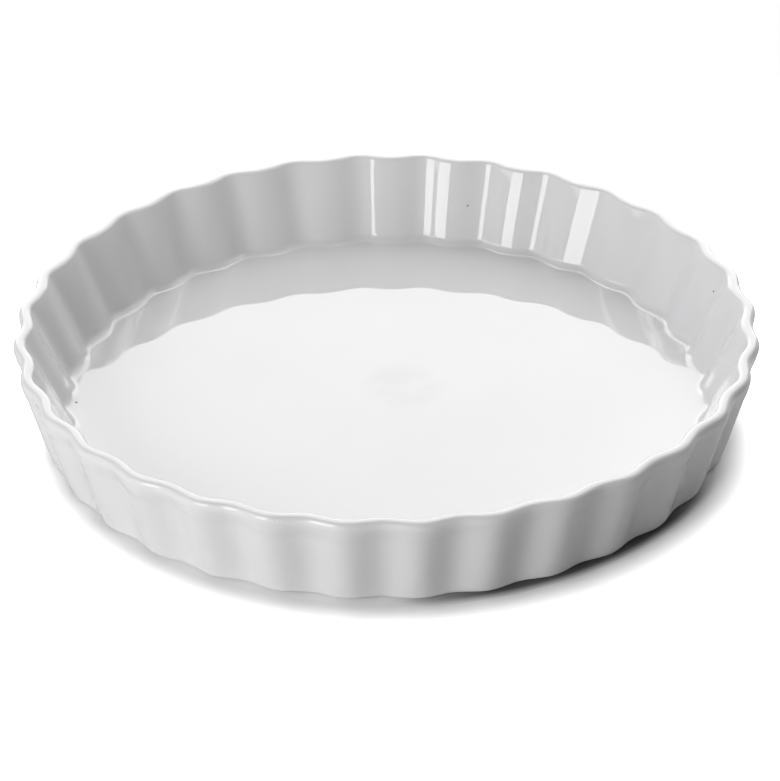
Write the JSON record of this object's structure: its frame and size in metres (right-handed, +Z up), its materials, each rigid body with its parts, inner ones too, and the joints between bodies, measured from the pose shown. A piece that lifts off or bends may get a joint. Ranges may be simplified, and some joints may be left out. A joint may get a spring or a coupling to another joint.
{
  "type": "fluted quiche dish",
  "caption": "Shallow round porcelain baking dish with fluted, outward-leaning wall, rolled rim and flat floor, glazed all over but for its bare foot ring.",
  "frame": {"origin": "on the dish's axis, in the plane of the foot ring where the dish meets the table", "axes": "+Z up along the dish's axis, +X through the middle of a flute crest"},
  "size_m": [0.3, 0.3, 0.041],
  "materials": {
    "biscuit": "unglazed fired porcelain, matt",
    "glaze": "white gloss glaze"
  },
  "bodies": {
    "root": {"porcelain_body": "biscuit", "glaze_coat": "glaze", "underside_glaze": "glaze"}
  },
  "joints": []
}
